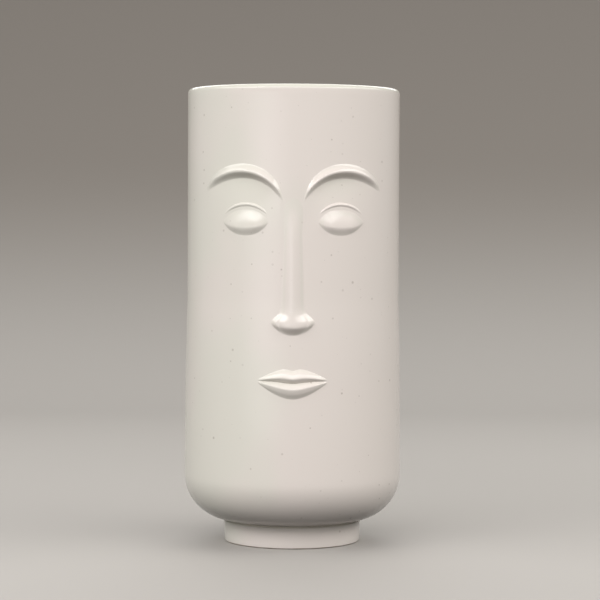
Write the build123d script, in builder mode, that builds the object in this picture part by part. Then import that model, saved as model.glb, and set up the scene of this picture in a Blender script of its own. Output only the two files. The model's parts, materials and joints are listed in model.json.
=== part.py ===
"""Face vase: a thrown stoneware vessel on a turned foot ring, with a relief face of applied clay.

Millimetres, +Z up. The origin is the centre of the foot ring's resting face, and the face looks along -Y.
Left and right are those of a person who looks at the face.
"""
import os
from math import cos, sin, sqrt

from build123d import *

# Vessel
vase_height = 250.0
rim_radius = 58.5
wall_thickness = 5.0
floor_thickness = 7.0
flare = 1.4  # how much wider the wall is at the heel than at the rim
flare_top = 135.0  # the wall is straight above this height
heel_radius = 25.2

# Foot ring
foot_height = 12.3
foot_radius = 37.9
foot_width = 8.4
foot_taper = 0.5  # how much narrower the ring is at its resting edge
foot_shoulder = 1.0  # bevel at the top of the ring, which leaves a groove under the vessel
foot_outer_round = 0.9
foot_inner_round = 1.3

# Face: heights count from the brow line, widths and offsets run round the wall from the face's middle
brow_rise = 56.0  # brow line above the middle of the inside
brow_inner = 7.0
brow_outer = 52.0
brow_peak = 29.0  # top of the arch
brow_arch = 11.0  # the lower edge at its top, above the inner end
brow_outer_rise = 4.0  # outer end above the inner end
brow_thickness = 4.5
brow_tip = 2.2  # height of the blunt ends
brow_relief = 2.0
brow_edge_round = 0.6

socket_depth = 2.2
socket_scoop = 60.0  # radius of the hollow from top to bottom
socket_drop = 2.0  # deepest line under the top of the brow's arch

eye_offset = 27.0
eye_width = 28.0
eye_drop = 13.0  # corners of the eye under the brow line
lash_sag = 7.5
crease_rise = 6.5
lid_relief = 2.2
lid_dome = 34.0

nose_length = 74.0  # brow line to the underside of the tip
bridge_width = 9.0
bridge_relief = 0.8
ridge_width = 13.0
ridge_relief = 2.8
tip_radius = 7.2
tip_relief = 3.8
wing_radius = 5.2
wing_offset = 7.0
wing_relief = 2.2
wing_rise = 1.2  # underside of the wings above that of the tip

mouth_drop = 24.0  # corners of the lips under the nose
mouth_width = 38.0
mouth_sag = 1.2
bow_offset = 4.6  # peaks of the upper lip
bow_height = 6.4
bow_dip = 1.3
lower_lip_height = 8.8
upper_lip_round = 5.0
upper_lip_relief = 2.1
lower_lip_round = 6.0
lower_lip_relief = 2.4

# Worked out from the sizes above
foot_inner = foot_radius - foot_width
seat_radius = foot_radius - foot_shoulder
bore_radius = rim_radius - wall_thickness
lip_round = wall_thickness / 2
lip_base = vase_height - lip_round
floor_top = foot_height + floor_thickness
heel_inside = heel_radius - wall_thickness
heel_top = foot_height + heel_radius
belly_radius = rim_radius + flare
front_reach = 2 * belly_radius

brow_line = (floor_top + vase_height) / 2 + brow_rise
eye_line = brow_line - eye_drop
nose_base = brow_line - nose_length
mouth_line = nose_base - mouth_drop
eye_bearing = eye_offset / rim_radius


def across(offset):
    """Distance from the face's middle, seen from the front, of a point that lies offset round the wall."""
    return rim_radius * sin(offset / rim_radius)


def wall_radius(height):
    """Outer radius of the wall: straight above the flare, and a slow curve below it, upright again at the heel."""
    above_heel = (height - heel_top) / (flare_top - heel_top)
    return belly_radius - flare * min(above_heel, 1.0) ** 2


def wall_depth(x):
    """Y of the straight wall's front at a distance x from the face's middle."""
    return -sqrt(rim_radius**2 - x**2)


def outside_line():
    """Underside, heel, flared wall and straight wall, from the axis to the foot of the lip."""
    heel_middle = belly_radius - heel_radius
    flare_middle = (heel_top + flare_top) / 2
    Line((0, foot_height), (heel_middle, foot_height))
    heel = CenterArc((heel_middle, heel_top), heel_radius, -90, 90)
    flared_wall = ThreePointArc(heel @ 1, (wall_radius(flare_middle), flare_middle), (rim_radius, flare_top))
    return Line(flared_wall @ 1, (rim_radius, lip_base))


def brow_edge():
    """Lower edge of the right brow, where its socket ends."""
    return ThreePointArc(
        (across(brow_inner), brow_line),
        (across(brow_peak), brow_line + brow_arch),
        (across(brow_outer), brow_line + brow_outer_rise),
    )


def parting_line():
    """Line on which the two lips meet, from the left corner of the mouth to the right."""
    corner = across(mouth_width / 2)
    return ThreePointArc((-corner, mouth_line), (0, mouth_line - mouth_sag), (corner, mouth_line))


# Eye sockets: a level scoop across the wall at each eye, cut off above by the brow's lower edge
with BuildPart() as right_socket:
    with BuildSketch(Plane.XZ):
        with BuildLine():
            edge = brow_edge()
            outer_foot = (across(brow_outer), nose_base)
            inner_foot = (across(brow_inner), nose_base)
            Polyline(edge @ 1, outer_foot, inner_foot, edge @ 0)
        make_face()
    extrude(amount=front_reach)
    scoop_reach = rim_radius - socket_depth + socket_scoop
    scoop_middle = (
        scoop_reach * sin(eye_bearing),
        -scoop_reach * cos(eye_bearing),
        brow_line + brow_arch - socket_drop,
    )
    with BuildSketch(Plane(origin=scoop_middle, z_dir=(cos(eye_bearing), sin(eye_bearing), 0))):
        Circle(socket_scoop)
    extrude(amount=front_reach, both=True, mode=Mode.INTERSECT)

# Vessel: wall with a full-round lip, rounded heel and flat floor
with BuildPart() as vase_body:
    with BuildSketch(Plane.XZ):
        with BuildLine():
            outside = outside_line()
            lip_crown = (rim_radius - lip_round, vase_height)
            lip = ThreePointArc(outside @ 1, lip_crown, (bore_radius, lip_base))
            inside = FilletPolyline(
                lip @ 1,
                (bore_radius, floor_top),
                (0, floor_top),
                radius=heel_inside,
            )
            Line(inside @ 1, (0, foot_height))
        make_face()
    revolve(axis=Axis.Z)
    add(right_socket.part, mode=Mode.SUBTRACT)
    mirror(right_socket.part, about=Plane.YZ, mode=Mode.SUBTRACT)
vase_body.part.label = "vase_body"

# The vessel's outside again, filled to its axis: what the applied pieces are cut to lie on
with BuildPart() as wall_seat:
    with BuildSketch(Plane.XZ):
        with BuildLine():
            outside = outside_line()
            Polyline(outside @ 1, (0, lip_base), (0, foot_height))
        make_face()
    revolve(axis=Axis.Z)

# The same with the right socket in it, for the eyelid that lies there
with BuildPart() as socket_seat:
    add(wall_seat.part)
    add(right_socket.part, mode=Mode.SUBTRACT)

# Foot ring: tapers to a rounded resting edge, its flat top against the vessel's underside
with BuildPart() as foot_ring:
    with BuildSketch(Plane.XZ):
        with BuildLine():
            ring = FilletPolyline(
                (foot_inner, foot_height),
                (foot_inner, 0),
                (foot_radius - foot_taper, 0),
                (foot_radius, foot_height - foot_shoulder),
                (seat_radius, foot_height),
                radius=(foot_inner_round, foot_outer_round, 0),
            )
            Line(ring @ 1, ring @ 0)
        make_face()
    revolve(axis=Axis.Z)
foot_ring.part.label = "foot_ring"

# Brows: a crescent band on the wall above each socket
with BuildPart() as right_brow:
    with BuildSketch(Plane.XZ):
        with BuildLine():
            lower_edge = brow_edge()
            outer_end = Line(lower_edge @ 1, lower_edge @ 1 + Vector(0, brow_tip))
            upper_edge = ThreePointArc(
                outer_end @ 1,
                (across(brow_peak), brow_line + brow_arch + brow_thickness),
                lower_edge @ 0 + Vector(0, brow_tip),
            )
            Line(upper_edge @ 1, lower_edge @ 0)
        make_face()
    extrude(amount=front_reach)
    with BuildSketch(Plane.XY):
        Circle(rim_radius + brow_relief)
    extrude(amount=vase_height, mode=Mode.INTERSECT)
    add(wall_seat.part, mode=Mode.SUBTRACT)
    fillet(right_brow.faces().sort_by(SortBy.AREA)[-1].edges(), brow_edge_round)
right_brow.part.label = "right_brow"

with BuildPart() as left_brow:
    mirror(right_brow.part, about=Plane.YZ)
left_brow.part.label = "left_brow"

# Eyelids: a lowered lid, a shallow dome between the crease and the lash line
with BuildPart() as right_eyelid:
    with BuildSketch(Plane.XZ):
        with BuildLine():
            inner_corner = (across(eye_offset - eye_width / 2), eye_line)
            outer_corner = (across(eye_offset + eye_width / 2), eye_line)
            ThreePointArc(inner_corner, (across(eye_offset), eye_line - lash_sag), outer_corner)
            ThreePointArc(outer_corner, (across(eye_offset), eye_line + crease_rise), inner_corner)
        make_face()
    extrude(amount=front_reach)
    lid_reach = rim_radius + lid_relief - lid_dome
    with Locations((lid_reach * sin(eye_bearing), -lid_reach * cos(eye_bearing), eye_line)):
        Sphere(lid_dome, mode=Mode.INTERSECT)
    add(socket_seat.part, mode=Mode.SUBTRACT)
right_eyelid.part.label = "right_eyelid"

with BuildPart() as left_eyelid:
    mirror(right_eyelid.part, about=Plane.YZ)
left_eyelid.part.label = "left_eyelid"

# Nose: a ridge that widens downwards, a rounded tip and two small wings
with BuildPart() as nose:
    tip_height = nose_base + tip_radius
    for level, width, relief in (
        (brow_line, bridge_width, bridge_relief),
        (tip_height, ridge_width, ridge_relief),
    ):
        with BuildSketch(Plane.XY.offset(level)):
            with BuildLine():
                half = across(width / 2)
                crest = ThreePointArc(
                    (-half, wall_depth(half)),
                    (0, -rim_radius - relief),
                    (half, wall_depth(half)),
                )
                Polyline(crest @ 1, (half, -bore_radius), (-half, -bore_radius), crest @ 0)
            make_face()
    loft(ruled=True)
    with Locations((0, tip_radius - rim_radius - tip_relief, tip_height)):
        Sphere(tip_radius)
    wing_depth = wing_radius - rim_radius - wing_relief
    for side in (-1, 1):
        with Locations((side * across(wing_offset), wing_depth, nose_base + wing_rise + wing_radius)):
            Sphere(wing_radius)
    add(wall_seat.part, mode=Mode.SUBTRACT)
nose.part.label = "nose"

# Lips: each a rounded roll round the wall, and they meet on one parting line
mouth_wall = wall_radius(mouth_line)

with BuildPart() as upper_lip:
    with BuildSketch(Plane.XZ):
        with BuildLine():
            parting = parting_line()
            peak = across(bow_offset)
            peak_height = mouth_line + bow_height
            bow = ThreePointArc((-peak, peak_height), (0, peak_height - bow_dip), (peak, peak_height))
            Line(parting @ 0, bow @ 0)
            Line(bow @ 1, parting @ 1)
        make_face()
    extrude(amount=front_reach)
    roll_middle = mouth_line + (bow_height - mouth_sag) / 2
    with BuildSketch(Plane.XZ):
        with Locations((mouth_wall + upper_lip_relief - upper_lip_round, roll_middle)):
            Circle(upper_lip_round)
    revolve(axis=Axis.Z, mode=Mode.INTERSECT)
    add(wall_seat.part, mode=Mode.SUBTRACT)
upper_lip.part.label = "upper_lip"

with BuildPart() as lower_lip:
    with BuildSketch(Plane.XZ):
        with BuildLine():
            parting = parting_line()
            ThreePointArc(parting @ 1, (0, mouth_line - lower_lip_height), parting @ 0)
        make_face()
    extrude(amount=front_reach)
    roll_middle = mouth_line - (mouth_sag + lower_lip_height) / 2
    with BuildSketch(Plane.XZ):
        with Locations((mouth_wall + lower_lip_relief - lower_lip_round, roll_middle)):
            Circle(lower_lip_round)
    revolve(axis=Axis.Z, mode=Mode.INTERSECT)
    add(wall_seat.part, mode=Mode.SUBTRACT)
lower_lip.part.label = "lower_lip"

os.makedirs("parts", exist_ok=True)
for piece in (
    vase_body,
    foot_ring,
    left_brow,
    right_brow,
    left_eyelid,
    right_eyelid,
    nose,
    upper_lip,
    lower_lip,
):
    export_step(piece.part, f"parts/{piece.part.label}.step")
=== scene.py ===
"""Looks of the face vase: speckled satin glaze over a thrown vessel, a foot ring and an applied face.

Every size is in metres, in the frame of the packed part: +Z up, the face towards -Y, the foot on z = 0.
"""

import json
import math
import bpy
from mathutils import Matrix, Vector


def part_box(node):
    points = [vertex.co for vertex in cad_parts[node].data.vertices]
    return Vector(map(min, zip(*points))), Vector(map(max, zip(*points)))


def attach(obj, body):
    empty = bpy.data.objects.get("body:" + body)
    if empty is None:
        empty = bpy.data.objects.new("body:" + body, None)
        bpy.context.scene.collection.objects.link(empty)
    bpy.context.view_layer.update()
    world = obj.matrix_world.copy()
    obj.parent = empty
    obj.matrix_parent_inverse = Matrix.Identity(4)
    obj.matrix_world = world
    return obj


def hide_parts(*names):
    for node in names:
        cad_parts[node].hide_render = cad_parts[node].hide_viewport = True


bl_info = {
    "name": "Face vase",
    "version": (1, 0, 0),
    "blender": (4, 5, 0),
    "location": "View3D > Sidebar > Face vase",
    "description": "Makes the glazed pieces of a face vase and a plain studio to show it in",
    "category": "Add Mesh",
}

import bpy
import numpy as np
from bpy.props import FloatProperty, FloatVectorProperty, PointerProperty
from mathutils import Quaternion, Vector

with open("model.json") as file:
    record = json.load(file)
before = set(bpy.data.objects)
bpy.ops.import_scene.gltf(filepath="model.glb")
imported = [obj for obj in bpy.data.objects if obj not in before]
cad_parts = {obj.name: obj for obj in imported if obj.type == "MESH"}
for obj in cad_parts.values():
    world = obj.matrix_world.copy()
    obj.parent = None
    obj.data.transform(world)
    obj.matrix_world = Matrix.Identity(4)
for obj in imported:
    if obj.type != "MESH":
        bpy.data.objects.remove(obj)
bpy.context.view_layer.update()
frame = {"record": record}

MM = 0.001
BODY = "root"
# On the vessel's lip this attribute carries painted shade, not thick glaze.
POOL_AND_RIM_SHADE = "pool"  # attribute of the points: how thick the glaze lies
GLAZE_IOR = 1.5
PHOTO_SIDE = 600  # pixels
SENSOR_WIDTH = 36  # mm

# Places of the packed pieces
VESSEL_LOW, VESSEL_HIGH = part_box("vase_body")
FOOT_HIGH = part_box("foot_ring")[1]
BROW_LOW, BROW_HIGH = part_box("right_brow")
LID_LOW, LID_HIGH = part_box("right_eyelid")
NOSE_LOW, NOSE_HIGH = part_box("nose")
UPPER_LOW, UPPER_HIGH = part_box("upper_lip")
LOWER_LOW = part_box("lower_lip")[0]
MOUTH = next(mount for mount in frame["record"]["mounts"] if mount["name"] == "mouth")

# Points along each stretch of the vessel's section
SECTION_STEPS = {
    "underside": 10,
    "heel": 28,
    "low_wall": 46,
    "socket_wall": 60,
    "high_wall": 16,
    "lip": 18,
    "inner_wall": 30,
    "inner_heel": 18,
    "floor": 8,
}


def length(name, description, default):
    """A length that the sidebar shows, in metres."""
    return FloatProperty(name=name, description=description, default=default, unit="LENGTH", precision=5)


def share(name, description, default):
    """A plain number between 0 and 1."""
    return FloatProperty(name=name, description=description, default=default, min=0, max=1, subtype="FACTOR")


def colour(name, description, default):
    """A linear colour."""
    return FloatVectorProperty(
        name=name, description=description, default=default, size=3, min=0, max=1, subtype="COLOR"
    )


def power(name, description, default):
    """The power of a lamp."""
    return FloatProperty(name=name, description=description, default=default, min=0, unit="POWER")


def angle(name, description, degrees):
    """An angle that the sidebar shows, given in degrees."""
    return FloatProperty(name=name, description=description, default=math.radians(degrees), subtype="ANGLE")


def lamp_place(name, bearing, rise):
    """Where a lamp stands, seen from the vase's middle, in degrees."""
    return FloatVectorProperty(
        name=name,
        description="Bearing from the camera's side towards the right, and rise above the vase's middle",
        default=(math.radians(bearing), math.radians(rise)),
        size=2,
        unit="ROTATION",
    )


def lamp_size(name, width, height):
    """Size of a lamp."""
    return FloatVectorProperty(
        name=name, description="Width and height", default=(width, height), size=2, unit="LENGTH"
    )


class VesselSizes(bpy.types.PropertyGroup):
    """Section of the thrown vessel."""

    bore: length("Bore", "Radius of the inside wall", MOUTH["dims"]["r_mm"] * MM)
    wall: length("Wall", "Thickness of the wall", 5 * MM)
    floor: length("Floor", "Thickness of the floor", 7 * MM)
    flare: length("Flare", "How much wider the wall is at the heel than at the rim", 1.4 * MM)
    flare_top: length("Flare top", "Height at which the wall starts to widen", 135 * MM)
    heel: length("Heel", "Radius of the rounded heel", 25.2 * MM)


class FootSizes(bpy.types.PropertyGroup):
    """Section of the foot ring."""

    width: length("Width", "Width of the ring", 8.4 * MM)
    taper: length("Taper", "How much narrower the ring is at the table", 0.5 * MM)
    shoulder: length("Shoulder", "Bevel under the vessel", 1.0 * MM)
    outer_round: length("Outer round", "Rounding of the outer resting edge", 0.9 * MM)
    inner_round: length("Inner round", "Rounding of the inner resting edge", 1.3 * MM)
    shoulder_round: length("Shoulder round", "Softening of the bevel's edge", 0.5 * MM)


class FaceSizes(bpy.types.PropertyGroup):
    """Relief of the applied face."""

    brow_relief: length("Brow relief", "How far the brows stand out", 1.8 * MM)
    brow_thickness: length("Brow thickness", "Height of a brow at its arch", 4.5 * MM)
    brow_tip: length("Brow tip", "Height of a brow's blunt ends", 2.2 * MM)
    brow_outer_rise: length("Brow outer rise", "Outer end of a brow above its inner end", 4.0 * MM)
    socket_depth: length("Socket depth", "Depth of the hollow under a brow", 2.2 * MM)
    socket_drop: length("Socket drop", "How far down the hollow fades out", 24 * MM)
    lid_relief: length("Lid relief", "How far the eyelids stand out", 1.7 * MM)
    lash_sag: length("Lash sag", "Middle of the lash line below its ends", 7.5 * MM)
    fold_rise: length("Fold rise", "Fold of skin above the eyelid's crease", 2.2 * MM)
    fold_relief: length("Fold relief", "How far the fold stands out of the socket", 0.65 * MM)
    bridge_relief: length("Bridge relief", "Height of the nose between the brows", 0.8 * MM)
    ridge_relief: length("Ridge relief", "Height of the nose above its tip", 2.8 * MM)
    tip_relief: length("Tip relief", "Height of the nose at its tip", 3.5 * MM)
    bridge_width: length("Bridge width", "Width of the nose between the brows", 11.0 * MM)
    ridge_width: length("Ridge width", "Width of the nose above its tip", 16.0 * MM)
    upper_relief: length("Upper lip relief", "How far the upper lip stands out", 2.1 * MM)
    lower_relief: length("Lower lip relief", "How far the lower lip stands out", 2.4 * MM)
    mouth_sag: length("Mouth sag", "Middle of the parting line below its ends", 1.2 * MM)
    bow_dip: length("Bow dip", "Dip in the middle of the upper lip", 1.5 * MM)
    bow_offset: length("Bow offset", "Peaks of the upper lip from its middle", 4.6 * MM)


class GlazeLook(bpy.types.PropertyGroup):
    """Colours and grain of the finish."""

    # Painted tint of the light: green on the left side and rose towards the middle and right stand in for
    # cooler and warmer light.
    glaze_painted_warm: colour("Rose glaze", "Colour where the glaze leans to pink", (0.762, 0.702, 0.645))
    glaze_painted_cool: colour("Green glaze", "Colour where the glaze leans to green", (0.722, 0.702, 0.622))
    # Also painted shade: the lip takes this colour to darken the rim.
    glaze_pool_and_rim_shade: colour("Pooled glaze", "Colour where the glaze lies thick", (0.650, 0.645, 0.555))
    pool_strength: share("Pool strength", "How far a full hollow takes the pooled glaze's colour", 0.6)
    # Where the painted tint of the light turns from green to rose, across the vase from left to right.
    painted_tint_start: length("Lean start", "Where green goes over to rose, from the middle to the right", -28 * MM)
    painted_tint_width: length("Lean width", "Half of the stretch over which it does", 26 * MM)
    painted_tint_wave: length("Lean wave", "Size of the waves in that stretch", 70 * MM)
    speck: colour("Speck", "Iron specks in the glaze", (0.230, 0.175, 0.125))
    speck_spacing: length("Speck spacing", "Side of the cells that hold one speck", 5.3 * MM)
    speck_radius: length("Speck radius", "Radius of the largest specks", 0.95 * MM)
    speck_share: share("Speck share", "Part of the cells that have a speck", 0.60)
    speck_strength: share("Speck strength", "How much the specks cover", 0.42)
    dust_spacing: length("Dust spacing", "Side of the cells that hold one fine speck", 2.4 * MM)
    dust_radius: length("Dust radius", "Radius of the largest fine specks", 0.36 * MM)
    dust_share: share("Dust share", "Part of the cells that have a fine speck", 0.30)
    dust_strength: share("Dust strength", "How much the fine specks cover", 0.34)
    gloss: share("Roughness", "Mean roughness of the glaze", 0.14)
    gloss_change: share("Roughness change", "How far the roughness strays from its mean", 0.03)
    gloss_patch: length("Gloss patch", "Size of the duller and shinier patches", 26 * MM)
    peel: length("Peel", "Size of the dimples in the glaze's skin", 9 * MM)
    peel_depth: length("Peel depth", "Depth of the dimples", 0.004 * MM)
    clay: colour("Clay", "Bare fired clay", (0.480, 0.385, 0.290))


class StageLook(bpy.types.PropertyGroup):
    """Floor, light and camera."""

    floor: colour("Floor", "Colour of the floor", (0.43, 0.412, 0.385))
    backdrop: colour("Backdrop", "Colour of the sweep behind the floor", (0.27, 0.247, 0.220))
    bounce: share("Bounce", "Part of the floor's colour that lights the vase from below", 0.12)
    key: power("Key", "Soft light in front, to the left", 10.9)
    key_place: lamp_place("Key place", -22, 35)
    key_size: lamp_size("Key size", 3.0, 0.7)
    fill: power("Fill", "Soft light at the right", 13.4)
    fill_place: lamp_place("Fill place", 65, 35)
    fill_size: lamp_size("Fill size", 3.5, 0.7)
    side: power("Side", "Soft light at the left", 5.3)
    side_place: lamp_place("Side place", -70, 35)
    side_size: lamp_size("Side size", 2.0, 0.7)
    back: power("Back", "Soft light behind the vase", 9.5)
    back_place: lamp_place("Back place", 180, 29)
    back_size: lamp_size("Back size", 2.2, 1.4)
    panel: power("Panel", "Low light that the wall mirrors", 0.10)
    panel_place: lamp_place("Panel place", -30, 2)
    panel_size: lamp_size("Panel size", 0.80, 0.30)
    panel_distance: length("Panel distance", "Panel from the vase's middle", 0.75)
    light_distance: length("Light distance", "Other soft lights from the vase's middle", 2.0)
    panel_spread: angle("Panel spread", "How wide the panel shines", 60)
    light_spread: angle("Light spread", "How wide the other soft lights shine", 110)
    front_tint: colour("Front tint", "Colour of the key and the panel", (1, 0.975, 0.995))
    room_tint: colour("Room tint", "Colour of the other light", (1, 0.985, 0.970))
    room: FloatProperty(name="Room", description="Strength of the even light all round", default=0.40)
    camera_distance: length("Camera distance", "Camera in front of the vase's axis", 1215 * MM)
    camera_height: length("Camera height", "Camera above the table", 183 * MM)
    aim_side: length("Aim side", "Middle of the picture to the right of the axis", 3.9 * MM)
    aim_height: length("Aim height", "Middle of the picture above the table", 133.5 * MM)
    roll: angle("Roll", "Tilt of the picture", 0.27)
    focal_pixels: FloatProperty(name="Focal length", description="In pixels of the photo", default=2190)


def smooth(low, high, value):
    """Rise from 0 at low to 1 at high along the cubic 3t^2 - 2t^3, level at both ends."""
    t = np.clip((value - low) / (high - low), 0, 1)
    return t * t * (3 - 2 * t)


def swell(rise, fall, value):
    """Up along one smooth step and down along another, each given by where it starts and where it ends."""
    return smooth(*rise, value) * (1 - smooth(*fall, value))


def bell(value, width):
    """The bell curve exp(-(value / width)^2): 1 at 0, falling off on both sides."""
    return np.exp(-((value / width) ** 2))


def arc_height(x, start, middle, end):
    """Height at x on the circle through three points, on that half of it where the middle point lies."""
    (ax, az), (bx, bz), (cx, cz) = start, middle, end
    twice = 2 * np.array([[bx - ax, bz - az], [cx - ax, cz - az]])
    squares = np.array([bx**2 - ax**2 + bz**2 - az**2, cx**2 - ax**2 + cz**2 - az**2])
    centre_x, centre_z = np.linalg.solve(twice, squares)
    radius = math.hypot(ax - centre_x, az - centre_z)
    side = math.copysign(1, bz - centre_z)
    return centre_z + side * np.sqrt(np.maximum(radius**2 - (x - centre_x) ** 2, 0))


def corner_arc(before, corner, after, radius, steps):
    """Points on the circle of that radius that touches both legs of a corner, from the first leg to the
    second."""
    before, corner, after = (np.array(point, float) for point in (before, corner, after))
    to_before = (before - corner) / np.linalg.norm(before - corner)
    to_after = (after - corner) / np.linalg.norm(after - corner)
    half = math.acos(np.clip(to_before @ to_after, -1, 1)) / 2
    bisector = (to_before + to_after) / np.linalg.norm(to_before + to_after)
    centre = corner + bisector * radius / math.sin(half)
    first = corner + to_before * radius / math.tan(half) - centre
    last = corner + to_after * radius / math.tan(half) - centre
    turn = math.atan2(first[0] * last[1] - first[1] * last[0], first @ last)
    direction = math.atan2(first[1], first[0]) + turn * np.linspace(0, 1, steps)
    return centre + radius * np.stack([np.cos(direction), np.sin(direction)], axis=1)


def stretch(start, end, steps):
    """Evenly spaced points from start up to, and without, end."""
    return np.linspace(start, end, steps, endpoint=False)


def polar(bearing, reach, height):
    """Points at that bearing round the axis, counted from the face's middle towards +X, and at that reach
    from the axis."""
    places = np.broadcast_arrays(reach * np.sin(bearing), -reach * np.cos(bearing), height)
    return np.stack(places, axis=-1)


def grid_quads(rows, columns, wrap_rows=False, wrap_columns=False):
    """Corner numbers of the cells of a grid whose points are numbered row by row."""
    number = np.arange(rows * columns).reshape(rows, columns)
    if wrap_rows:
        number = np.vstack([number, number[:1]])
    if wrap_columns:
        number = np.hstack([number, number[:, :1]])
    cells = (number[:-1, :-1], number[:-1, 1:], number[1:, 1:], number[1:, :-1])
    return np.stack(cells, axis=-1).reshape(-1, 4)


def make_piece(name, points, faces, material, pool=None):
    """A smooth-shaded mesh object at the origin from an array of points and lists of faces. Pool says how
    thick the glaze lies at each point: 0 on open wall, 1 in a full hollow, and on the vessel's lip it also
    carries painted shade."""
    mesh = bpy.data.meshes.new(name)
    mesh.from_pydata(points.reshape(-1, 3).tolist(), [], [face for group in faces for face in group.tolist()])
    mesh.shade_smooth()
    mesh.materials.append(material)
    if pool is not None:
        thickness = mesh.attributes.new(POOL_AND_RIM_SHADE, "FLOAT", "POINT")
        thickness.data.foreach_set("value", pool.astype(np.float32).ravel())
    piece = bpy.data.objects.new(name, mesh)
    bpy.context.scene.collection.objects.link(piece)
    return piece


def stand_for(piece, node):
    """The piece takes the place of a packed node, on the vase's one body."""
    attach(piece, BODY)
    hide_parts(node)


def rim_radius(vessel):
    """Outer radius of the straight wall."""
    return vessel.bore + vessel.wall


def plain_reach(vessel, height):
    """Radius of the wall without its hollows: the rim's plus the flare times 1 - t^2, where t goes from 0 at
    the heel to 1 where the wall is straight."""
    heel_top = VESSEL_LOW.z + vessel.heel
    t = np.clip((height - heel_top) / (vessel.flare_top - heel_top), 0, 1)
    return rim_radius(vessel) + vessel.flare * (1 - t**2)


def brow_edges(face, vessel, x):
    """Heights of a brow's lower and upper edge at x: two circle arcs over the brow's box, with the arch at
    the bearing half way between its ends."""
    rim = rim_radius(vessel)
    inner, outer = BROW_LOW.x, BROW_HIGH.x
    arch = rim * math.sin((math.asin(inner / rim) + math.asin(outer / rim)) / 2)
    bottom, top = BROW_LOW.z, BROW_HIGH.z
    outer_end = bottom + face.brow_outer_rise
    tip = face.brow_tip
    lower = arc_height(x, (inner, bottom), (arch, top - face.brow_thickness), (outer, outer_end))
    upper = arc_height(x, (inner, bottom + tip), (arch, top), (outer, outer_end + tip))
    return lower, upper


def socket_depth(face, vessel, bearing, height, lean=0.8, softness=1.5, fullness=1.25, start=0.10):
    """Depth of the eye sockets: along the brow a sine hump, drawn towards the nose, and down from the brow a
    quick start and a slow fade. Softness is the power of hump and fade, and fullness makes up for the depth
    that they take away."""
    x = rim_radius(vessel) * np.abs(np.sin(bearing))
    inner, outer = BROW_LOW.x, BROW_HIGH.x
    lower, upper = brow_edges(face, vessel, np.clip(x, inner, outer))
    along = np.clip((x - inner) / (outer - inner), 0, 1) ** lean
    hump = np.sin(math.pi * along) ** softness
    down = ((lower + upper) / 2 - height) / face.socket_drop
    fade = smooth(0, start, down) * np.clip(1 - down, 0, 1) ** softness
    front = np.cos(bearing) > 0
    return face.socket_depth * fullness * hump * fade * front


def wall_reach(face, vessel, bearing, height):
    """Radius of the wall with its eye sockets."""
    return plain_reach(vessel, height) - socket_depth(face, vessel, bearing, height)


def vessel_section(vessel, below_brows=14 * MM):
    """Radius and height along the vessel's section, from the middle of its underside over the lip to the
    middle of its floor, and which of the points lie on the outer wall. Lines, corner arcs, the flared wall
    and a half circle, with closer points on the wall from below_brows under the brows up to their tops."""
    steps = SECTION_STEPS
    rim = rim_radius(vessel)
    belly = rim + vessel.flare
    lip = vessel.wall / 2
    lip_base = VESSEL_HIGH.z - lip
    bottom, floor_top = VESSEL_LOW.z, VESSEL_LOW.z + vessel.floor
    bore, inner_round = vessel.bore, vessel.heel - vessel.wall
    heel = corner_arc((0, bottom), (belly, bottom), (belly, lip_base), vessel.heel, steps["heel"])
    inner_heel = corner_arc(
        (bore, lip_base), (bore, floor_top), (0, floor_top), inner_round, steps["inner_heel"]
    )
    sockets_low = BROW_LOW.z - below_brows
    wall_height = np.concatenate(
        [
            stretch(heel[-1][1], sockets_low, steps["low_wall"]),
            stretch(sockets_low, BROW_HIGH.z, steps["socket_wall"]),
            stretch(BROW_HIGH.z, lip_base, steps["high_wall"]),
        ]
    )
    wall = np.stack([plain_reach(vessel, wall_height), wall_height], axis=1)
    turn = math.pi * np.linspace(0, 1, steps["lip"])
    lip_arc = np.stack([rim - lip + lip * np.cos(turn), lip_base + lip * np.sin(turn)], axis=1)
    inner_wall = stretch(lip_arc[-1], inner_heel[0], steps["inner_wall"])[1:]
    floor = stretch(inner_heel[-1], np.array([0, floor_top]), steps["floor"])[1:]
    underside = stretch(np.array([0, bottom]), heel[0], steps["underside"])[1:]
    section = np.concatenate([underside, heel[:-1], wall, lip_arc, inner_wall, inner_heel, floor])
    start = len(underside) + len(heel) - 1
    on_wall = np.zeros(len(section), bool)
    on_wall[start : start + len(wall)] = True
    return section, on_wall


def face_bearings(face_half=math.radians(58), face_steps=170, back_steps=110):
    """Bearings all the way round, close together on the face and wider apart behind it."""
    return np.concatenate(
        [stretch(-face_half, face_half, face_steps), stretch(face_half, 2 * math.pi - face_half, back_steps)]
    )


def vessel_shape(vessel, face, painted_rim_shade=1.5):
    """Points, faces and pooled glaze of the vessel: its section carried round the axis, less the sockets on
    the wall, with a fan of triangles at each of the two poles. The glaze pools as deep as the sockets. On the
    lip the pooled glaze's darker colour is painted shade, which dims the rim that the lamps light from above."""
    section, on_wall = vessel_section(vessel)
    bearing = face_bearings()[None, :]
    hollow = socket_depth(face, vessel, bearing, section[:, 1:]) * on_wall[:, None]
    ring = polar(bearing, section[:, :1] - hollow, section[:, 1:]).reshape(-1, 3)
    # Painted shade on the lip's top, in the pooled glaze's colour.
    shaded_lip = smooth(VESSEL_HIGH.z - vessel.wall / 2, VESSEL_HIGH.z - vessel.wall / 4, section[:, 1:])
    pool = np.append(np.clip(hollow / face.socket_depth, 0, 1) + painted_rim_shade * shaded_lip, [0, 0])
    rows, columns = len(section), bearing.size
    poles = np.array([[0, 0, section[0, 1]], [0, 0, section[-1, 1]]])
    here = np.arange(columns)
    following = np.roll(here, -1)
    last = (rows - 1) * columns
    under = np.stack([np.full(columns, rows * columns), following, here], axis=1)
    over = np.stack([np.full(columns, rows * columns + 1), last + here, last + following], axis=1)
    return np.vstack([ring, poles]), [grid_quads(rows, columns, wrap_columns=True), under, over], pool


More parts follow.
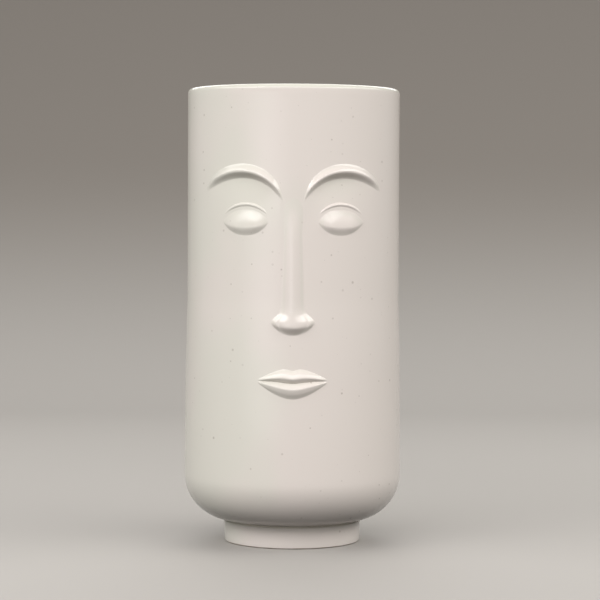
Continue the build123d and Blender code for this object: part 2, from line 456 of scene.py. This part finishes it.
def foot_shape(foot, columns=200, arc_steps=12, run_steps=4, top_round=0.2 * MM, pool_drop=2.5):
    """Points, faces and pooled glaze of the foot ring: a closed section of lines and corner arcs carried
    round the axis. The glaze pools under the vessel, down to pool_drop times the shoulder."""
    top, outer = VESSEL_LOW.z, FOOT_HIGH.x
    inner = outer - foot.width
    corners = [
        (inner, 0),
        (outer - foot.taper, 0),
        (outer, top - foot.shoulder),
        (outer - foot.shoulder, top),
        (inner, top),
    ]
    rounds = [foot.inner_round, foot.outer_round, foot.shoulder_round, foot.shoulder_round / 2, top_round]
    arcs = [
        corner_arc(corners[i - 1], corners[i], corners[(i + 1) % len(corners)], rounds[i], arc_steps)
        for i in range(len(corners))
    ]
    runs = [stretch(arcs[i][-1], arcs[(i + 1) % len(arcs)][0], run_steps)[1:] for i in range(len(arcs))]
    section = np.concatenate([part for pair in zip(arcs, runs) for part in pair])
    bearing = stretch(0, 2 * math.pi, columns)[None, :]
    points = polar(bearing, section[:, :1], section[:, 1:])
    pool = smooth(top - pool_drop * foot.shoulder, top, section[:, 1:])
    quads = grid_quads(len(section), columns, wrap_rows=True, wrap_columns=True)
    return points, [quads], np.broadcast_to(pool, points.shape[:2])


def sprig_shape(bearing, height, reach, back, pool):
    """Points, faces and pooled glaze of an applied piece: an outer and an inner sheet over one patch of wall,
    and a strip that joins their edges."""
    rows, columns = bearing.shape
    count = rows * columns
    sheets = [polar(bearing, away, height).reshape(-1, 3) for away in (reach, back)]
    outer = grid_quads(rows, columns)
    number = np.arange(count).reshape(rows, columns)
    edge = np.concatenate([number[0, :-1], number[:-1, -1], number[-1, :0:-1], number[:0:-1, 0]])
    ahead = np.roll(edge, -1)
    strip = np.stack([ahead, edge, edge + count, ahead + count], axis=1)
    return np.vstack(sheets), [outer, outer[:, ::-1] + count, strip], np.tile(pool.ravel(), 2)


def sprig_sheets(settings, x, height, crown, form, edge_sink=0.12 * MM, back_sink=1.2 * MM, foot_pool=0.5):
    """Bearing, height, outer and inner reach and pooled glaze of an applied piece at distance x from the
    face's middle. The outer sheet runs from just under the wall, where form is 0, to the crown above the
    plain wall, where form is 1. The glaze pools just above the piece's foot."""
    vessel, face = settings
    x, height = np.broadcast_arrays(x, height)
    bearing = np.arcsin(x / rim_radius(vessel))
    wall = wall_reach(face, vessel, bearing, height)
    top = plain_reach(vessel, height) + crown
    reach = (wall - edge_sink) * (1 - form) + top * form
    gathered = swell((0.05, 0.20), (0.20, 0.60), form)
    return bearing, height, reach, wall - back_sink, foot_pool * gathered


def mirrored(sheets):
    """The same sheets on the other half of the face, with their columns turned round to keep them facing
    outwards."""
    bearing, *others = sheets
    return -bearing[:, ::-1], *(sheet[:, ::-1] for sheet in others)


def brow_sheets(settings, columns=110, rows=48, skirt=2.6 * MM):
    """Right brow: a soft roll between two arcs, with flanks that meet at its middle and ends that run out."""
    vessel, face = settings
    u = np.linspace(0, 1, columns)[None, :]
    v = np.linspace(0, 1, rows)[:, None]
    x = BROW_LOW.x - skirt + (BROW_HIGH.x - BROW_LOW.x + 2 * skirt) * u
    lower, upper = brow_edges(face, vessel, x)
    height = lower - skirt + (upper - lower + 2 * skirt) * v
    flanks = swell((0.05, 0.56), (0.46, 1), v)
    ends = swell((0, 0.16), (0.80, 1), u)
    return sprig_sheets(settings, x, height, face.brow_relief, flanks * ends)


def lid_sheets(settings, columns=84, rows=84, skirt=1.2 * MM, fold_width=1.5 * MM):
    """Right eyelid: a dome between the lash line and the crease, steep at the lashes and slow at the crease.
    Above the crease a low fold of skin, a smooth bump across its line, follows it and runs out at both
    ends."""
    face = settings[1]
    u = np.linspace(0, 1, columns)[None, :]
    v = np.linspace(0, 1, rows)[:, None]
    inner, outer = LID_LOW.x, LID_HIGH.x
    middle = (inner + outer) / 2
    corners = LID_LOW.z + face.lash_sag
    x = inner - skirt + (outer - inner + 2 * skirt) * u
    inside = np.clip(x, inner, outer)
    lash = arc_height(inside, (inner, corners), (middle, LID_LOW.z), (outer, corners))
    crease = arc_height(inside, (inner, corners), (middle, LID_HIGH.z), (outer, corners))
    foot = lash - skirt
    opening = crease - lash + 2 * skirt
    height = foot + (opening + face.fold_rise + fold_width) * v
    level = (height - foot) / opening
    dome = swell((0, 0.32), (0.28, 1), level)
    ends = swell((0, 0.34), (0.66, 1), u)
    bearing, height, reach, back, pool = sprig_sheets(settings, x, height, face.lid_relief, dome * ends)
    fold = 1 - smooth(0, fold_width, np.abs(height - crease - face.fold_rise))
    fold = fold * swell((0, 0.30), (0.70, 1), u)
    return bearing, height, reach + face.fold_relief * fold, back, pool


def nose_sheets(settings, columns=72, rows=170, start=-0.08, stop=1.02, wing_level=0.935, tip_length=0.065):
    """Nose: a soft ridge that rises out of the brow, and grows wider and higher downwards to a rounded tip
    between two wings. Down it t goes from 0 between the brows to 1 under the tip, and a bell curve round
    wing_level turns ridge to tip. Across, the ridge is (1 - |u|^1.8)^2.4, and the tip is a ball with a lower
    bell on each side."""
    face = settings[1]
    root_spread, wing_skirt, wing_lift = 5 * MM, 1 * MM, 2.2 * MM
    ball_width, wing_height, wing_width = 0.66, 0.55, 0.19
    u = np.linspace(-1, 1, columns)[None, :]
    t = np.linspace(stop, start, rows)[:, None]
    near_tip = bell(t - wing_level, tip_length)
    spread = root_spread * (1 - smooth(start, 0.30, t))
    half_width = (face.bridge_width + (face.ridge_width - face.bridge_width) * t) / 2 + spread
    x = u * (half_width * (1 - near_tip) + (NOSE_HIGH.x + wing_skirt) * near_tip)
    height = NOSE_HIGH.z - (NOSE_HIGH.z - NOSE_LOW.z) * t + wing_lift * u**2 * smooth(0.8, 1, t)
    ridge = (1 - np.abs(u) ** 1.8) ** 2.4
    ball = np.clip(1 - (u / ball_width) ** 2, 0, 1) ** 0.6
    wings = wing_height * bell(np.abs(u) - ball_width, wing_width)
    tip = (ball**4 + wings**4) ** 0.25 * (1 - u**6)
    across = ridge * (1 - near_tip) + tip * near_tip
    ends = swell((start, 0.34), (0.95, stop), t)
    crown = face.bridge_relief + (face.ridge_relief - face.bridge_relief) * t
    crown = crown + (face.tip_relief - face.ridge_relief) * near_tip
    return sprig_sheets(settings, x, height, crown, across * ends)


def parting_height(face, u, dip_width=0.38):
    """Height of the line between the lips: level, with a bell-shaped dip in the middle."""
    return UPPER_LOW.z + face.mouth_sag * (1 - bell(u, dip_width))


def lip_sheets(settings, border, relief, steep, columns=96, rows=40, skirt=1.4 * MM, edge=0.3, meet=0.12):
    """A lip between the parting line and its border: it meets the other lip a little above the wall, rises
    within the share steep, falls slowly, and keeps a soft edge at the border. It runs out at the corners."""
    face = settings[1]
    u = np.linspace(-1, 1, columns)[None, :]
    v = np.linspace(0, 1, rows)[:, None]
    x = u * UPPER_HIGH.x
    parting = parting_height(face, u)
    fullness = border(u, x) - parting
    outward = np.sign(fullness[0, columns // 2])
    height = parting + (fullness + outward * skirt) * v
    fall = (1 - edge) * (1 - smooth(0.25, 1, v)) + edge * (1 - smooth(0.60, 1, v))
    ends = np.clip(1 - u**2, 0, 1)
    sheets = sprig_sheets(settings, x, height, relief, smooth(-meet, steep, v) * fall * ends)
    return [sheet[::-1] for sheet in sheets] if outward < 0 else sheets


def upper_lip_sheets(settings, curve=1.3, dip_width=0.65, steep=0.36):
    """Upper lip: its border rises from the corners as (1 - u^2)^curve, with a bell-shaped dip that leaves two
    peaks."""
    face = settings[1]
    corners = UPPER_LOW.z + face.mouth_sag
    rise = UPPER_HIGH.z - corners

    def border(u, x):
        dip = face.bow_dip * bell(x, dip_width * face.bow_offset)
        return corners + rise * np.clip(1 - u**2, 0, 1) ** curve - dip

    return lip_sheets(settings, border, face.upper_relief, steep)


def lower_lip_sheets(settings, curve=1.2, breadth=1.9, steep=0.40):
    """Lower lip: its border is one full curve from corner to corner, (1 - |u|^breadth)^curve."""
    face = settings[1]
    corners = UPPER_LOW.z + face.mouth_sag
    drop = corners - LOWER_LOW.z

    def border(u, x):
        return corners - drop * np.clip(1 - np.abs(u) ** breadth, 0, 1) ** curve

    return lip_sheets(settings, border, face.lower_relief, steep)


def new_node(tree, kind, inputs=None, **attributes):
    """A shader node with its attributes set, and each of its inputs linked or given a value."""
    made = tree.nodes.new(kind)
    for name, value in attributes.items():
        setattr(made, name, value)
    for key, value in (inputs or {}).items():
        if isinstance(value, bpy.types.NodeSocket):
            tree.links.new(value, made.inputs[key])
        else:
            made.inputs[key].default_value = value
    return made


def rgba(tint):
    """A colour property with full alpha."""
    return (*tint, 1)


def blend_colours(tree, factor, first, second):
    """Mix of two colours."""
    return new_node(tree, "ShaderNodeMix", {0: factor, 6: first, 7: second}, data_type="RGBA").outputs[2]


def calculate(tree, operation, *values):
    """One step of arithmetic."""
    return new_node(tree, "ShaderNodeMath", dict(enumerate(values)), operation=operation).outputs[0]


def grain(tree, place, size, detail=2.0):
    """Noise whose features are about that size."""
    inputs = {"Vector": place, "Scale": 1 / size, "Detail": detail}
    return new_node(tree, "ShaderNodeTexNoise", inputs).outputs["Fac"]


def between(tree, value, low, high, start, end):
    """Value carried from the range low..high to start..end along a smooth step."""
    inputs = {"Value": value, "From Min": low, "From Max": high, "To Min": start, "To Max": end}
    return new_node(tree, "ShaderNodeMapRange", inputs, interpolation_type="SMOOTHSTEP").outputs["Result"]


def speck_mask(tree, place, spacing, radius, chosen, faintest=0.3, core=0.45, least=0.001):
    """Soft round specks: one point to a cell, kept where the cell's random number passes 1 - chosen, and
    larger the further it passes. They fade from their core outwards, and a second random number makes some of
    them fainter."""
    cells = new_node(tree, "ShaderNodeTexVoronoi", {"Vector": place, "Scale": 1 / spacing})
    numbers = new_node(tree, "ShaderNodeSeparateColor", {"Color": cells.outputs["Color"]}).outputs
    strength = calculate(tree, "MULTIPLY_ADD", numbers["Green"], 1 - faintest, faintest)
    grow = radius / spacing / chosen
    passed = calculate(tree, "MULTIPLY_ADD", numbers["Red"], grow, -grow * (1 - chosen))
    outer = calculate(tree, "MAXIMUM", passed, least)
    inner = calculate(tree, "MULTIPLY", outer, core)
    disc = between(tree, cells.outputs["Distance"], inner, outer, 1, 0)
    return calculate(tree, "MULTIPLY", disc, strength)


def add_specks(tree, place, look, base, kind):
    """The base colour with specks of one kind over it."""
    spacing, radius = getattr(look, f"{kind}_spacing"), getattr(look, f"{kind}_radius")
    mask = speck_mask(tree, place, spacing, radius, getattr(look, f"{kind}_share"))
    cover = calculate(tree, "MULTIPLY", mask, getattr(look, f"{kind}_strength"))
    return blend_colours(tree, cover, base, rgba(look.speck))


def glaze_sockets(tree, look):
    """Place on the object, and colour, roughness and normal of the speckled glaze there."""
    place = new_node(tree, "ShaderNodeTexCoord").outputs["Object"]
    # Painted tint of the light: greener on the left side and rosier to the right, along X with a wavering
    # edge.
    side = new_node(tree, "ShaderNodeSeparateXYZ", {0: place}).outputs["X"]
    width = look.painted_tint_width
    wander = between(tree, grain(tree, place, look.painted_tint_wave), 0.3, 0.7, -width, width)
    painted_tint_line = calculate(tree, "ADD", side, wander)
    painted_warm_side = between(tree, painted_tint_line, look.painted_tint_start - width, look.painted_tint_start + width, 0, 1)
    glaze_with_painted_tint = blend_colours(tree, painted_warm_side, rgba(look.glaze_painted_cool), rgba(look.glaze_painted_warm))
    # Pooled glaze in hollows; on the vessel's lip the same colour is painted shade.
    depth = new_node(tree, "ShaderNodeAttribute", attribute_name=POOL_AND_RIM_SHADE).outputs["Fac"]
    pooled = calculate(tree, "MULTIPLY", depth, look.pool_strength)
    base = blend_colours(tree, pooled, glaze_with_painted_tint, rgba(look.glaze_pool_and_rim_shade))
    dusted = add_specks(tree, place, look, base, "dust")
    specked = add_specks(tree, place, look, dusted, "speck")
    dull, shiny = look.gloss + look.gloss_change, look.gloss - look.gloss_change
    roughness = between(tree, grain(tree, place, look.gloss_patch), 0.25, 0.75, shiny, dull)
    peel = grain(tree, place, look.peel, 0)
    skin = new_node(tree, "ShaderNodeBump", {"Height": peel, "Strength": 1, "Distance": look.peel_depth})
    return place, specked, roughness, skin.outputs["Normal"]


def new_material(name):
    """An empty node material and its principled shader."""
    material = bpy.data.materials.new(name)
    material.use_nodes = True
    tree = material.node_tree
    return material, tree, tree.nodes["Principled BSDF"]


def dress_shader(tree, shader, tint, roughness, normal):
    """Gives a glazed surface's shader its colour, roughness and normal, and the glaze's refraction."""
    for key, socket in (("Base Color", tint), ("Roughness", roughness), ("Normal", normal)):
        tree.links.new(socket, shader.inputs[key])
    shader.inputs["IOR"].default_value = GLAZE_IOR


def glaze_material(look):
    """Off-white satin glaze with a painted tint of the light, green on the left side and rose towards the
    right, and with sparse iron specks and a slight orange-peel skin."""
    name = "speckled_glaze"
    if name in bpy.data.materials:
        return bpy.data.materials[name]
    material, tree, shader = new_material(name)
    _, *sockets = glaze_sockets(tree, look)
    dress_shader(tree, shader, *sockets)
    return material


def foot_material(look, bare_height=0.45 * MM, waver=0.15 * MM, soft=0.1 * MM, clay_roughness=0.85):
    """The same glaze down to an uneven line just above the table, and bare gritty clay below it."""
    wave_size, grit_size, grit_shade = 7 * MM, 1.4 * MM, 0.78
    material, tree, shader = new_material("foot_glaze")
    place, tint, roughness, normal = glaze_sockets(tree, look)
    level = new_node(tree, "ShaderNodeSeparateXYZ", {0: place}).outputs["Z"]
    ragged = between(tree, grain(tree, place, wave_size), 0.2, 0.8, -waver, waver)
    line = calculate(tree, "ADD", level, ragged)
    bare = between(tree, line, bare_height - soft, bare_height + soft, 1, 0)
    grit = between(tree, grain(tree, place, grit_size, 4), 0.3, 0.7, 0, 1)
    darker = tuple(grit_shade * part for part in look.clay)
    clay = blend_colours(tree, grit, rgba(look.clay), rgba(darker))
    mixed = blend_colours(tree, bare, tint, clay)
    rough = new_node(tree, "ShaderNodeMix", {0: bare, 2: roughness, 3: clay_roughness}, data_type="FLOAT")
    dress_shader(tree, shader, mixed, rough.outputs[0], normal)
    return material


def settings_of(context):
    """Vessel and face sizes of the scene."""
    return context.scene.vase_vessel, context.scene.vase_face


class FACEVASE_OT_vessel(bpy.types.Operator):
    """Make the thrown vessel with its carved eye sockets"""

    bl_idname = "face_vase.vessel"
    bl_label = "Vessel"

    def execute(self, context):
        points, faces, pool = vessel_shape(*settings_of(context))
        piece = make_piece("glazed_vessel", points, faces, glaze_material(context.scene.vase_glaze), pool)
        stand_for(piece, "vase_body")
        return {"FINISHED"}


class FACEVASE_OT_foot_ring(bpy.types.Operator):
    """Make the turned foot ring"""

    bl_idname = "face_vase.foot_ring"
    bl_label = "Foot ring"

    def execute(self, context):
        points, faces, pool = foot_shape(context.scene.vase_foot)
        piece = make_piece("glazed_foot_ring", points, faces, foot_material(context.scene.vase_glaze), pool)
        stand_for(piece, "foot_ring")
        return {"FINISHED"}


def add_sprig(context, name, node, sheets):
    """One applied piece of the face, in glaze, in the place of its node."""
    points, faces, pool = sprig_shape(*sheets)
    piece = make_piece(name, points, faces, glaze_material(context.scene.vase_glaze), pool)
    stand_for(piece, node)


class FACEVASE_OT_brows(bpy.types.Operator):
    """Make both brows"""

    bl_idname = "face_vase.brows"
    bl_label = "Brows"

    def execute(self, context):
        sheets = brow_sheets(settings_of(context))
        add_sprig(context, "glazed_right_brow", "right_brow", sheets)
        add_sprig(context, "glazed_left_brow", "left_brow", mirrored(sheets))
        return {"FINISHED"}


class FACEVASE_OT_eyelids(bpy.types.Operator):
    """Make both lowered eyelids"""

    bl_idname = "face_vase.eyelids"
    bl_label = "Eyelids"

    def execute(self, context):
        sheets = lid_sheets(settings_of(context))
        add_sprig(context, "glazed_right_eyelid", "right_eyelid", sheets)
        add_sprig(context, "glazed_left_eyelid", "left_eyelid", mirrored(sheets))
        return {"FINISHED"}


class FACEVASE_OT_nose(bpy.types.Operator):
    """Make the nose"""

    bl_idname = "face_vase.nose"
    bl_label = "Nose"

    def execute(self, context):
        add_sprig(context, "glazed_nose", "nose", nose_sheets(settings_of(context)))
        return {"FINISHED"}


class FACEVASE_OT_lips(bpy.types.Operator):
    """Make both lips"""

    bl_idname = "face_vase.lips"
    bl_label = "Lips"

    def execute(self, context):
        settings = settings_of(context)
        add_sprig(context, "glazed_upper_lip", "upper_lip", upper_lip_sheets(settings))
        add_sprig(context, "glazed_lower_lip", "lower_lip", lower_lip_sheets(settings))
        return {"FINISHED"}


def sweep_shape(half_width=2.6, front=-2.6, bend=0.75, bend_radius=0.6, wall_top=0.62, rows=40):
    """Points and faces of the floor's sweep: flat to the bend, a quarter circle up, then upright."""
    turn = np.linspace(0, math.pi / 2, rows)
    y = np.concatenate([[front], bend + bend_radius * np.sin(turn), [bend + bend_radius]])
    z = np.concatenate([[0], bend_radius * (1 - np.cos(turn)), [wall_top]])
    x = np.array([-half_width, half_width])
    points = np.stack(np.broadcast_arrays(x[None, :], y[:, None], z[:, None]), axis=-1)
    return points, [grid_quads(len(y), len(x))]


def floor_material(look, rise=0.25, near=1.5, far=2.5, roughness=0.7, specular=0.2):
    """Plain pale matt floor that turns into the backdrop's colour as the sweep rises, and into the room's
    light far from the vase, where it ends. Seen, it is pale. As bounced light the flat part sends on only a
    share of its colour, and the sweep all of the floor's."""
    material, tree, shader = new_material("pale_floor")
    place = new_node(tree, "ShaderNodeTexCoord").outputs["Object"]
    level = new_node(tree, "ShaderNodeSeparateXYZ", {0: place}).outputs["Z"]
    rising = between(tree, level, 0, rise, 0, 1)
    dim = tuple(look.bounce * part for part in look.floor)
    pale = blend_colours(tree, rising, rgba(look.floor), rgba(look.backdrop))
    sent = blend_colours(tree, rising, rgba(dim), rgba(look.floor))
    ray = new_node(tree, "ShaderNodeLightPath").outputs
    shiny = calculate(tree, "MAXIMUM", ray["Is Glossy Ray"], ray["Is Transmission Ray"])
    seen = calculate(tree, "MAXIMUM", ray["Is Camera Ray"], shiny)
    tree.links.new(blend_colours(tree, seen, sent, pale), shader.inputs["Base Color"])
    shader.inputs["Roughness"].default_value = roughness
    shader.inputs["Specular IOR Level"].default_value = specular
    away = new_node(tree, "ShaderNodeVectorMath", {0: place}, operation="LENGTH").outputs["Value"]
    fading = calculate(tree, "MULTIPLY", between(tree, away, near, far, 0, 1), seen)
    glow = new_node(tree, "ShaderNodeEmission", {"Color": rgba(look.room_tint), "Strength": look.room})
    mixed = new_node(tree, "ShaderNodeMixShader", {0: fading, 1: shader.outputs[0], 2: glow.outputs[0]})
    tree.links.new(mixed.outputs[0], tree.nodes["Material Output"].inputs["Surface"])
    return material


def add_softbox(look, name, tint, distance, spread):
    """A wide soft light that points at the vase's middle and fades towards its edges."""
    light = bpy.data.lights.new(f"{name}_light", "AREA")
    light.shape = "RECTANGLE"
    light.size, light.size_y = getattr(look, f"{name}_size")
    light.energy = getattr(look, name)
    light.color = tint
    light.spread = spread
    lamp = bpy.data.objects.new(light.name, light)
    bearing, rise = getattr(look, f"{name}_place")
    away, above = distance * math.cos(rise), distance * math.sin(rise)
    middle = Vector((0, 0, VESSEL_HIGH.z / 2))
    lamp.location = middle + Vector(polar(bearing, away, above))
    lamp.rotation_mode = "QUATERNION"
    lamp.rotation_quaternion = (middle - lamp.location).to_track_quat("-Z", "Y")
    bpy.context.scene.collection.objects.link(lamp)


def add_camera(look):
    """The photo's camera: a long lens above the vase's middle, looking slightly down, rolled by a hair."""
    data = bpy.data.cameras.new("camera")
    data.sensor_width = SENSOR_WIDTH
    data.lens = look.focal_pixels * data.sensor_width / PHOTO_SIDE
    camera = bpy.data.objects.new("camera", data)
    camera.location = Vector((0, -look.camera_distance, look.camera_height))
    aim = Vector((look.aim_side, 0, look.aim_height))
    camera.rotation_mode = "QUATERNION"
    facing = (aim - camera.location).to_track_quat("-Z", "Y")
    camera.rotation_quaternion = facing @ Quaternion((0, 0, 1), look.roll)
    bpy.context.scene.collection.objects.link(camera)
    bpy.context.scene.camera = camera


def add_room(look):
    """Even light all round."""
    world = bpy.data.worlds.new("room")
    bpy.context.scene.world = world
    world.use_nodes = True
    background = world.node_tree.nodes["Background"]
    background.inputs["Color"].default_value = rgba(look.room_tint)
    background.inputs["Strength"].default_value = look.room


class FACEVASE_OT_stage(bpy.types.Operator):
    """Make the floor, the lights and the camera"""

    bl_idname = "face_vase.stage"
    bl_label = "Stage"

    def execute(self, context):
        look = context.scene.vase_stage
        make_piece("floor_sweep", *sweep_shape(), floor_material(look))
        add_softbox(look, "panel", look.front_tint, look.panel_distance, look.panel_spread)
        add_softbox(look, "key", look.front_tint, look.light_distance, look.light_spread)
        for name in ("fill", "side", "back"):
            add_softbox(look, name, look.room_tint, look.light_distance, look.light_spread)
        add_room(look)
        add_camera(look)
        context.scene.view_settings.view_transform = "Standard"
        return {"FINISHED"}


class FACEVASE_PT_sidebar(bpy.types.Panel):
    """The vase's pieces and sizes in the 3D view's sidebar"""

    bl_idname = "FACEVASE_PT_sidebar"
    bl_label = "Face vase"
    bl_space_type = "VIEW_3D"
    bl_region_type = "UI"
    bl_category = "Face vase"

    def draw(self, context):
        for operator in OPERATORS:
            self.layout.operator(operator.bl_idname)
        for name, group in GROUPS.items():
            box = self.layout.box()
            box.label(text=group.__doc__)
            for key in group.__annotations__:
                box.prop(getattr(context.scene, name), key)


OPERATORS = (
    FACEVASE_OT_vessel,
    FACEVASE_OT_foot_ring,
    FACEVASE_OT_brows,
    FACEVASE_OT_eyelids,
    FACEVASE_OT_nose,
    FACEVASE_OT_lips,
    FACEVASE_OT_stage,
)
GROUPS = {
    "vase_vessel": VesselSizes,
    "vase_foot": FootSizes,
    "vase_face": FaceSizes,
    "vase_glaze": GlazeLook,
    "vase_stage": StageLook,
}
CLASSES = (*GROUPS.values(), *OPERATORS, FACEVASE_PT_sidebar)


def register():
    """Makes the classes known to Blender, and gives each scene the vase's sizes and looks."""
    for made in CLASSES:
        bpy.utils.register_class(made)
    for name, group in GROUPS.items():
        setattr(bpy.types.Scene, name, PointerProperty(type=group))


def unregister():
    """Takes back what register does."""
    for name in GROUPS:
        delattr(bpy.types.Scene, name)
    for made in reversed(CLASSES):
        bpy.utils.unregister_class(made)


def main():
    register()
    for operator in OPERATORS:
        group, action = operator.bl_idname.split(".")
        getattr(getattr(bpy.ops, group), action)()


if __name__ == "__main__":
    main()
